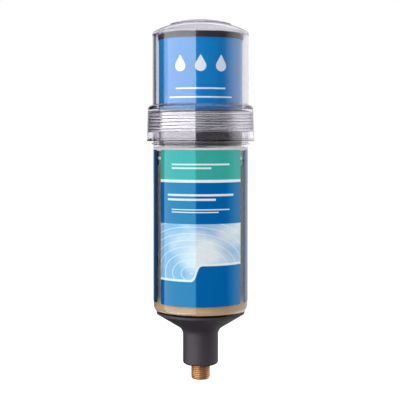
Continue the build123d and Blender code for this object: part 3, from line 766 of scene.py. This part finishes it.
cover = {
    "wall": 1.9,
    "wallRadius": 32.2,
    "draft": 0.2,
    "edgeRadius": 1.5,
    "domeRadius": 40.0,
    "domeReach": 2.3,
    "domeCentre": 11.3,
    "domeSteps": 16,
    "discRadius": 20.4,
    "discStep": 1.0,
    "discRise": 2.75,
    "discSteps": 12,
    "ledge": 172.7,
    "shoulder": 175.7,
    "shoulderRadius": 2.8,
    "skirtTop": 35.4,
    "skirtFoot": 36.1,
    "lip": 0.2,
    "lipHeight": 1.6,
    # the band of painted shade at the skirt's foot, with outline points at its edges
    "shadeLineLow": 0.5,
    "shadeLineHigh": 0.7,
    "thread": {
        "root": 33.4, "crest": 32.45, "sharpness": 0.9, "pitch": 2.18, "starts": 1,
        "low": 157.6, "high": 171.4, "fade": 0.8,
        "offset": 0.5,  # its ridges lie in the neck's grooves
    },
    "plainMirror": 0.8,
    "topMirror": 0.25,
    "mirrorFade": 8.0,
}


def domePoints(size, inset):
    # from the apex outwards: the raised disc, and below its step the dome down to the wall
    radius = size["domeRadius"] - inset
    discEdge = size["discRadius"] - inset
    wall = size["wallRadius"] - inset
    discArc = (discEdge**2 + size["discRise"] ** 2) / (2 * size["discRise"])
    apex = coverHigh.z - inset
    stepFoot = apex - size["discRise"] - size["discStep"]

    def arcHeight(r):
        return math.sqrt(radius**2 - (r - size["domeCentre"]) ** 2)

    disc = []
    for k in range(size["discSteps"] + 1):
        r = discEdge * k / size["discSteps"]
        disc.append((r, apex - discArc + math.sqrt(discArc**2 - r**2)))
    dome = []
    for k in range(size["domeSteps"] + 1):
        r = discEdge + (wall - discEdge) * k / size["domeSteps"]
        dome.append((r, stepFoot + arcHeight(r) - arcHeight(discEdge)))
    return disc, dome


def coverOutline(size):
    disc, dome = domePoints(size, 0.0)
    innerDisc, innerDome = domePoints(size, size["wall"])
    wall = size["wallRadius"]
    inner = wall - size["wall"]
    bore = size["thread"]["root"]
    lipRadius = size["skirtFoot"] + size["lip"]
    foot = coverLow.z
    lipTop = foot + size["lipHeight"]
    edge = dome[-1][1]
    domeFoot = edge - size["domeReach"]
    threadFoot = foot + 2.0

    def outerWall(z):
        return wall + size["draft"] * (edge - z) / (edge - size["shoulder"])

    step = rounded((
        disc[-2] + (0.0,),
        disc[-1] + (0.35,),
        dome[0] + (0.35,),
        dome[1] + (0.0,),
    ))
    wallAndSkirt = rounded((
        dome[-3] + (0.0,),
        (wall, edge, size["edgeRadius"]),
        (outerWall(domeFoot), domeFoot, 0.0),
        (outerWall(domeFoot - 0.2), domeFoot - 0.2, 0.0),
        (wall + size["draft"], size["shoulder"], 0.5),
        (size["skirtTop"], size["shoulder"], size["shoulderRadius"]),
        (size["skirtFoot"], lipTop, 0.0),
        (lipRadius, lipTop - size["lip"], 0.0),
        (lipRadius, foot + size["shadeLineHigh"], 0.0),
        (lipRadius, foot + size["shadeLineLow"], 0.0),
        (lipRadius, foot, 0.25),
        (bore, foot, 0.3),
        (bore, foot + size["shadeLineLow"], 0.0),
        (bore, foot + size["shadeLineHigh"], 0.0),
        (bore, threadFoot, 0.0),
    ))
    threaded = straight(bore, threadFoot, size["ledge"] - 0.4, 0.15)
    inside = rounded((
        threaded[-1] + (0.0,),
        (bore, size["ledge"], 0.3),
        (inner, size["ledge"], 0.4),
        (inner, domeFoot - 0.2, 0.0),
        (inner, domeFoot, 0.0),
        (inner, innerDome[-1][1], 0.1),
        innerDome[-3] + (0.0,),
    ))
    outside = disc[:-1] + step[1:-1] + dome[1:-2] + wallAndSkirt[1:]
    return outside + threaded[1:] + inside[1:] + innerDome[1:-3][::-1] + innerDisc[::-1]


def coverMarks(size):
    domeFoot = domePoints(size, 0.0)[1][-1][1] - size["domeReach"]
    shadeLineEdge = coverLow.z + (size["shadeLineLow"] + size["shadeLineHigh"]) / 2
    return {
        "mirrorShare": mirrorMark(size),
        "threadShare": threadMark(size["thread"]),
        "domeShare": lambda r, z: float(z > domeFoot - 0.1),
        # where the painted shade at the skirt's foot lies
        "footShadeShare": lambda r, z: float(z < shadeLineEdge),
    }


clearCover = lathe("clearCover", coverOutline(cover), 180, coverMarks(cover))
cutThread(clearCover, "clear_plastic", cover["thread"])
smoothMesh(clearCover, 40.0)
fitPiece(clearCover, "cover", "clear_plastic", ["clear_cover"])
print("cover turned:", len(clearCover.data.polygons), "faces")


cartridge = {
    "floor": 35.5,
    "floorThickness": 1.8,
    "edgeRadius": 5.5,
    "bore": 30.3,
    "footRadius": 32.1,
    "headRadius": 31.8,
    "spigotRadius": 8.5,
    "outletRadius": 2.5,
    "collar": 149.5,
    "collarRadius": 33.0,
    "collarThickness": 1.1,
    "neckEdge": 1.0,
    "thread": {
        "root": 31.85, "crest": 32.7, "sharpness": 0.9, "pitch": 2.18, "starts": 1, "offset": 0.0,
        "low": 157.4, "high": 168.6, "fade": 0.8,
    },
    "plainMirror": 0.8,
    "topMirror": 1.0,
    "mirrorFade": 8.0,
    "haze": 0.75,
    "hazeHeight": 1.4,
}


def cartridgeSkin(z):
    # the radius of the drafted outer wall
    low = cartridge["floor"] + cartridge["edgeRadius"]
    share = (z - low) / (cartridge["collar"] - low)
    return cartridge["footRadius"] + (cartridge["headRadius"] - cartridge["footRadius"]) * share


def cartridgeOutline(size):
    top = bodyHigh.z
    neckTop = top - size["neckEdge"]
    root = size["thread"]["root"]
    collarTop = size["collar"] + size["collarThickness"]
    innerFloor = size["floor"] + size["floorThickness"]
    hazeTop = labelHigh.z + size["hazeHeight"]
    hazeEdges = (labelHigh.z - 0.7, labelHigh.z - 0.3, hazeTop, hazeTop + 0.25)

    # its last two corners only aim the arcs beside them, and are dropped again
    outside = rounded((
        (size["spigotRadius"], bodyLow.z, 0.4),
        (size["spigotRadius"], size["floor"], 0.3),
        (size["footRadius"], size["floor"], size["edgeRadius"]),
        *((cartridgeSkin(z), z, 0.0) for z in hazeEdges),
        (size["headRadius"], size["collar"], 0.3),
        (size["collarRadius"], size["collar"], 0.25),
        (size["collarRadius"], collarTop, 0.3),
        (root, collarTop, 0.2),
        (root, neckTop, 0.0),
        (size["outletRadius"], bodyLow.z, 0.0),
    ))[:-2]
    neck = straight(root, outside[-1][1], neckTop, 0.15)
    inside = rounded((
        (root, neckTop, 0.0),
        (root, top, 0.4),
        (size["bore"], top, 0.3),
        (size["bore"], innerFloor, size["edgeRadius"] - size["floorThickness"]),
        (size["outletRadius"], innerFloor, 0.5),
        (size["outletRadius"], bodyLow.z, 0.3),
        (size["spigotRadius"], bodyLow.z, 0.0),
    ))[1:-1]
    return outside + neck[1:] + inside


def cartridgeMarks(size):
    def hazeShare(r, z):
        inBand = labelHigh.z - 0.5 < z < labelHigh.z + size["hazeHeight"] + 0.1
        return size["haze"] if r > size["bore"] + 0.5 and inBand else 0.0

    return {
        "threadShare": threadMark(size["thread"]),
        "mirrorShare": mirrorMark(size),
        "hazeShare": hazeShare,
    }


clearCartridge = lathe("clearCartridge", cartridgeOutline(cartridge), 180, cartridgeMarks(cartridge))
cutThread(clearCartridge, "clear_plastic", cartridge["thread"])
smoothMesh(clearCartridge, 40.0)
fitPiece(clearCartridge, "lubricator", "clear_plastic", ["cartridge_body"])
print("cartridge turned:", len(clearCartridge.data.polygons), "faces")


labels = {
    "glue": 0.02,
    "thickness": 0.15,
    "corner": 1.2,
    "frontHalf": 55.0,  # degrees on each side of the front
    "window": 9.5,  # degrees that stay clear between the front label and the rear one
    "driveRadius": 28.0,
    "driveHalf": 179.0,
    "driveInset": 0.05,
    "rows": 40,
    "columnAngle": 1.5,
}


def driveSkin(z):
    return labels["driveRadius"]


def filmPatch(name, low, high, start, end, corner, radiusAt):
    # a closed strip of film on a round wall, its corners rounded; angles from the front, in degrees
    rows = labels["rows"]
    columns = max(12, round((end - start) / labels["columnAngle"]))
    vertices = []
    for layer in (labels["glue"], labels["thickness"]):
        for row in range(rows + 1):
            z = low + (high - low) * 0.5 * (1 - math.cos(math.pi * row / rows))
            inset = 0.0
            fromEnd = min(z - low, high - z)
            if fromEnd < corner:
                inset = corner - math.sqrt(max(0.0, corner**2 - (corner - fromEnd) ** 2))
            radius = radiusAt(z) + layer
            shift = math.degrees(inset / radius)
            for column in range(columns + 1):
                angle = math.radians(start + shift + (end - start - 2 * shift) * column / columns)
                vertices.append((radius * math.sin(angle) * mm, -radius * math.cos(angle) * mm, z * mm))
    wide = columns + 1
    outer = wide * (rows + 1)
    faces = []
    for row in range(rows):
        for column in range(columns):
            a = row * wide + column
            quad = (a, a + 1, a + wide + 1, a + wide)
            faces.append(tuple(outer + point for point in quad))
            faces.append(quad[::-1])
    rim = list(range(wide))
    rim += [row * wide + columns for row in range(1, rows + 1)]
    rim += [rows * wide + column for column in range(columns - 1, -1, -1)]
    rim += [row * wide for row in range(rows - 1, 0, -1)]
    for first, second in zip(rim, rim[1:] + rim[:1]):
        faces.append((first, second, outer + second, outer + first))
    return smoothMesh(addMesh(name, vertices, faces), 50.0)


frontHalf, driveHalf, corner = labels["frontHalf"], labels["driveHalf"], labels["corner"]
rearStart = frontHalf + labels["window"]
filmFoot, filmTop = filmLow.z + labels["driveInset"], filmHigh.z - labels["driveInset"]
frontLabel = filmPatch("frontLabel", labelLow.z, labelHigh.z, -frontHalf, frontHalf, corner, cartridgeSkin)
fitPiece(frontLabel, "lubricator", "front_film", ["front_label"])
rearLabel = filmPatch("rearLabel", rearLow.z, rearHigh.z, rearStart, 360 - rearStart, corner, cartridgeSkin)
fitPiece(rearLabel, "lubricator", "rear_film", ["rear_label"])
driveLabel = filmPatch("driveLabel", filmFoot, filmTop, -driveHalf, driveHalf, 0.0, driveSkin)
fitPiece(driveLabel, "lubricator", "drive_film", ["drive_label"])
print("labels wrapped")


grease = {
    "core": 5.5,  # round the spindle
    "floorGap": 0.05,
    "wetting": 0.05,  # into the wall, so that no air shows between them
    "edge": 0.3,
    "stroke": 87.0,
}


def greaseOutline(size):
    low = greaseLow.z + size["floorGap"]
    wall = cartridge["bore"] + size["wetting"]
    return rounded((
        (size["core"], low, 0.0),
        (wall, low, cartridge["edgeRadius"] - cartridge["floorThickness"]),
        (wall, greaseHigh.z, size["edge"]),
        (size["core"], greaseHigh.z, size["edge"]),
    ), 12.0)


greaseFill = smoothMesh(lathe("greaseFill", greaseOutline(grease), 144))
fitPiece(greaseFill, "lubricator", "grease", ["grease_charge"])
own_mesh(greaseFill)
print("grease filled")


nipple = {
    "thread": {
        "root": 5.85, "crest": 6.5785, "sharpness": 0.8, "pitch": 1.337, "starts": 1, "offset": 0.0,
        "low": nippleLow.z + 0.4, "high": 0.2, "fade": 0.7,
    },
    "bore": 2.5,
    "collar": 7.5785,
    "collarFoot": 1.6,
    "groove": 6.78,
    "grooveLow": 5.55,
    "grooveHigh": 7.55,
    # the colour of the painted shade in the thread's roots
    "rootShade": (186, 128, 84),
}


def nippleOutline(size):
    root = size["thread"]["root"]
    threaded = straight(root, nippleLow.z + 0.75, -0.05, 0.11)
    return rounded((
        (size["bore"], nippleLow.z, 0.3),
        (root - 0.1, nippleLow.z, 0.2),
        threaded[0] + (0.0,),
    ))[:-1] + threaded + rounded((
        (root, size["collarFoot"], 0.0),
        (size["collar"], size["collarFoot"], 0.2),
        (size["collar"], size["grooveLow"], 0.2),
        (size["groove"], size["grooveLow"], 0.0),
        (size["groove"], size["grooveHigh"], 0.0),
        (size["collar"], size["grooveHigh"], 0.2),
        (size["collar"], nippleHigh.z, 0.3),
        (size["bore"], nippleHigh.z, 0.3),
    ))


finishes["outlet_brass"] = turnedMetal(
    "outletBrass", (222, 170, 118), (246, 202, 148), 0.36, 1500.0, 0.7,
    (nipple["thread"]["root"], nipple["thread"]["crest"], nipple["rootShade"]),
)
nippleMarks = {"threadShare": threadMark(nipple["thread"])}
outletNipple = lathe("outletNipple", nippleOutline(nipple), 128, nippleMarks)
cutThread(outletNipple, "outlet_brass", nipple["thread"])
smoothMesh(outletNipple, 45.0)
fitPiece(outletNipple, "lubricator", "outlet_brass", ["outlet_nipple"])
print("nipple threaded")


dialScale = {
    "places": 10,
    "start": 225.0,  # the first place, from the right-hand side, anticlockwise
    "step": 30.0,
    "faceBelow": 1.05,  # the knob is 1 mm thick, and 0.05 mm clear of the plate's face
    "tickInner": 10.7,
    "tickOuter": 12.3,
    "tickWidth": 0.45,
    "inkHeight": 0.06,
    "numberRadius": 14.6,
    "numberHeight": 2.9,
    "numbers": ("0", "1", "2", "3", "4", "6", "8", "9", "10", "12"),
}
plateFace = span("selector_dial")[1].z - dialScale["faceBelow"]
inkMiddle = (plateFace + dialScale["inkHeight"] / 2) * mm


def tickTree():
    # small raised bars round a circle, from sizes given as inputs
    graph, given = newTree("scaleTicks", {
        "Places": "Int", "Radius": "Float", "Height": "Float", "Bar": "Vector",
        "Step": "Float", "Start": "Float", "Ink": "Material",
    })
    turn = given["Start"] - graph.add("GeometryNodeInputIndex") * given["Step"]
    spot = graph.add("ShaderNodeCombineXYZ", {}, {
        "X": turn.math("COSINE") * given["Radius"],
        "Y": turn.math("SINE") * given["Radius"],
        "Z": given["Height"],
    })
    points = graph.add("GeometryNodePoints", {}, {"Count": given["Places"], "Position": spot})
    bar = graph.add("GeometryNodeMeshCube", {}, {"Size": given["Bar"]})
    facing = graph.add("ShaderNodeCombineXYZ", {}, {"Z": turn})
    placed = {"Points": points, "Instance": bar, "Rotation": facing}
    return endTree(graph, graph.add("GeometryNodeInstanceOnPoints", {}, placed), given["Ink"])


def scaleNumbers(size):
    # plain numbers, flat on the plate, each upright towards the dial's middle
    meshes = []
    for index, words in enumerate(size["numbers"]):
        letters = bpy.data.curves.new("number", "FONT")
        letters.body = words
        letters.size = size["numberHeight"] * mm
        letters.align_x = letters.align_y = "CENTER"
        letters.extrude = size["inkHeight"] / 2 * mm
        letters.resolution_u = 3
        writer = addObject("number", letters)
        flat = plainMesh(writer)
        bpy.data.objects.remove(writer)
        turn = math.radians(size["start"] - size["step"] * index)
        radius = size["numberRadius"] * mm
        spot = Matrix.Translation((radius * math.cos(turn), radius * math.sin(turn), inkMiddle))
        flat.transform(spot @ Matrix.Rotation(turn - math.pi / 2, 4, "Z"))
        meshes.append(flat)
    return meshes


printedScale = addMesh("printedScale", [], [])
runTree(printedScale, tickTree(), {
    "Places": dialScale["places"],
    "Radius": (dialScale["tickInner"] + dialScale["tickOuter"]) / 2 * mm,
    "Height": inkMiddle,
    "Bar": (
        (dialScale["tickOuter"] - dialScale["tickInner"]) * mm,
        dialScale["tickWidth"] * mm,
        dialScale["inkHeight"] * mm,
    ),
    "Step": math.radians(dialScale["step"]),
    "Start": math.radians(dialScale["start"]),
    "Ink": scaleInk,
})
together = bmesh.new()
for part in [printedScale.data] + scaleNumbers(dialScale):
    together.from_mesh(part)
together.to_mesh(printedScale.data)
together.free()
smoothMesh(printedScale, 20.0)
fitPiece(printedScale, "lubricator", "natural_plastic", [], scaleInk)
print("scale printed:", len(printedScale.data.polygons), "faces")


spindle = {
    "thread": {
        "root": 4.1, "crest": spindleHigh.x, "sharpness": 0.7, "pitch": 2.5, "starts": 2, "offset": 0.0,
        "low": spindleLow.z + 0.6, "high": spindleHigh.z - 8.2, "fade": 1.2,
    },
    "tip": 1.0,
    "runOut": 0.4,
    "collarHeight": 0.6,
    "collarEdge": 0.3,
    "headAcross": 8.0,
    "headLength": 7.0,
    "headEdge": 0.5,
}


def spindleOutline(size):
    low = spindleLow.z
    neck = spindleHigh.z - size["headLength"] - size["collarHeight"]
    root, crest = size["thread"]["root"], size["thread"]["crest"]
    collarTop = neck + size["collarHeight"]
    threaded = straight(root, low + size["tip"], neck - size["runOut"], 0.25)
    return [(0.0, low), (root - size["tip"], low)] + threaded + [
        (crest - size["collarEdge"], neck),
        (crest, neck + size["collarEdge"]),
        (crest, collarTop),
        (0.0, collarTop),
    ]


def addHexagon(piece, size):
    # the six-sided head that plugs into the drive, its corners broken at the top
    shape = bmesh.new()
    shape.from_mesh(piece.data)
    low = (spindleHigh.z - size["headLength"]) * mm
    high = spindleHigh.z * mm
    corner = size["headAcross"] / math.sqrt(3) * mm
    edge = size["headEdge"] * mm
    turns = [math.pi / 3 * k for k in range(6)]
    rings = [
        [shape.verts.new((radius * math.cos(turn), radius * math.sin(turn), height)) for turn in turns]
        for height, radius in ((low, corner), (high - edge, corner), (high, corner - edge))
    ]
    for below, above in zip(rings, rings[1:]):
        for k in range(6):
            shape.faces.new((below[k], below[(k + 1) % 6], above[(k + 1) % 6], above[k]))
    shape.faces.new(rings[0][::-1])
    shape.faces.new(rings[-1])
    shape.to_mesh(piece.data)
    shape.free()


spindleMarks = {"threadShare": threadMark(spindle["thread"])}
threadedSpindle = lathe("threadedSpindle", spindleOutline(spindle), 72, spindleMarks)
cutThread(threadedSpindle, "bright_steel", spindle["thread"])
addHexagon(threadedSpindle, spindle)
smoothMesh(threadedSpindle, 35.0)
fitPiece(threadedSpindle, "spindle", "bright_steel", ["spindle"])
print("spindle cut:", len(threadedSpindle.data.polygons), "faces")


driveNodes = ("drive_housing", "top_plate", "gear_plate", "rotary_switch")
for subpart in frame["record"]["subparts"]:
    node = frame["nodes"][subpart["node"]]
    finish = driveBlack if subpart["node"] in driveNodes else finishes[subpart["material_slot"]]
    node.data.materials.clear()
    node.data.materials.append(finish)


studio = {
    "floorSize": 6.0,
    "floorGap": 0.0002,
    "floorColor": (0.93, 0.93, 0.93, 1.0),
    "floorGlow": 0.60,
    "worldFill": 0.78,
    "whiteSide": (0.9, 1.0, 0.4),
    "whiteEdge": (0.62, 0.60),
    "whiteLevel": 1.0,
    "greySide": (0.3, 1.0, 0.0),
    "greyEdge": (0.80, 0.12),
    "greyLevel": 0.50,
    "overhead": (0.0, 0.0, 1.0),
    "overheadEdge": (0.80, 0.30),
    "roomGlow": 0.03,
    "white": (1.0, 1.0, 1.0, 1.0),
}

half = studio["floorSize"] / 2
corners = ((-half, -half), (half, -half), (half, half), (-half, half))
floor = addMesh("floor", [(x, y, cadLow.z - studio["floorGap"]) for x, y in corners], [(0, 1, 2, 3)])


def seenRay(graph):
    # 1 for rays that show a surface or its mirror image, 0 for rays that gather light
    seen = graph.ray("Is Camera Ray").math("MAXIMUM", graph.ray("Is Glossy Ray"))
    return seen.math("MAXIMUM", graph.ray("Is Transmission Ray"))


def roomSeen(graph, toward):
    # how bright the studio looks in a mirror: white behind, to the right and overhead,
    # grey to the left, and dark in front
    def side(name, edge):
        return edgeMask(graph.vector("DOT_PRODUCT", "Value", toward, studio[name]), *studio[edge])
    white = side("whiteSide", "whiteEdge") * studio["whiteLevel"]
    white = white.math("MAXIMUM", side("overhead", "overheadEdge"))
    grey = side("greySide", "greyEdge") * studio["greyLevel"]
    return studio["roomGlow"] + (1 - studio["roomGlow"]) * white.math("MAXIMUM", grey)


def mirrorDark(graph, toward):
    # 0 for what is seen directly or through clear plastic, up to 1 for a mirrored ray in the dark
    bounced = graph.ray("Glossy Depth").math("MINIMUM", 1.0)
    return bounced * (1 - roomSeen(graph, toward))


floorPaint, graph = newMaterial("floorPaint")
glowing = {"Color": studio["white"], "Strength": seenRay(graph) * studio["floorGlow"]}
matte = graph.add("ShaderNodeBsdfDiffuse", {}, {"Color": studio["floorColor"]})
glow = graph.add("ShaderNodeEmission", {}, glowing)
both = graph.add("ShaderNodeAddShader", {}, {0: matte, 1: glow})
graph.add("ShaderNodeOutputMaterial", {}, {"Surface": both})
floor.data.materials.append(floorPaint)
floor.visible_glossy = False  # a mirror image shows the studio below the floor line too

world = bpy.data.worlds.new("studio")
world.use_nodes = True
bpy.context.scene.world = world
graph = Graph(world.node_tree)
toward = graph.add("ShaderNodeTexCoord", {}, {}, "Generated")
backdropGlow = 1 - mirrorDark(graph, toward)
strength = studio["worldFill"] + seenRay(graph) * (backdropGlow - studio["worldFill"])
backdrop = graph.add("ShaderNodeBackground", {}, {"Color": studio["white"], "Strength": strength})
graph.add("ShaderNodeOutputWorld", {}, {"Surface": backdrop})

# azimuths are in degrees from the front, positive to the right, and lengths in metres
lamps = {
    "gleamBox": {
        "azimuth": -53.9, "distance": 0.78, "lift": 0.0, "size": (1.435, 1.7),
        "level": 2.4, "hiddenFrom": ["diffuse"],
    },
    "overheadBox": {
        "azimuth": 180.0, "distance": 1.0, "lift": 0.70, "size": (1.3, 0.25),
        "level": 1.6, "hiddenFrom": ["diffuse", "transmission"],
    },
    "keyBox": {
        "azimuth": -25.0, "distance": 1.3, "lift": 0.9, "size": (1.6, 1.2),
        "level": 1.0, "hiddenFrom": ["glossy"],
    },
}


def softbox(name, look, centre):
    # a soft lamp that faces the object and isn't seen itself
    data = bpy.data.lights.new(name, "AREA")
    data.shape = "RECTANGLE"
    data.size, data.size_y = look["size"]
    data.energy = look["level"] * math.pi * look["size"][0] * look["size"][1]
    lamp = addObject(name, data)
    turn = math.radians(look["azimuth"])
    away = Vector((math.sin(turn), -math.cos(turn), 0)) * look["distance"]
    lamp.location = centre + away + Vector((0, 0, look["lift"]))
    lamp.rotation_mode = "QUATERNION"
    lamp.rotation_quaternion = (centre - lamp.location).to_track_quat("-Z", "Y")
    lamp.visible_camera = False
    for ray in look["hiddenFrom"]:
        setattr(lamp, "visible_" + ray, False)


for name, look in lamps.items():
    softbox(name, look, (cadLow + cadHigh) / 2)


view = {
    "distance": 0.6363,
    "eyeHeight": 0.1513,
    "sideways": -0.0004,
    "pitch": 3.55,
    "lens": 84.7,
    "sensor": 36.0,
    "near": 0.01,
    "far": 50.0,
}
camera = addObject("camera", bpy.data.cameras.new("camera"))
camera.location = (view["sideways"], -view["distance"], view["eyeHeight"])
camera.rotation_euler = (math.radians(90 - view["pitch"]), 0, 0)
camera.data.sensor_width = view["sensor"]
camera.data.lens = view["lens"]
camera.data.clip_start = view["near"]
camera.data.clip_end = view["far"]
bpy.context.scene.camera = camera
bpy.context.scene.view_settings.view_transform = "Standard"
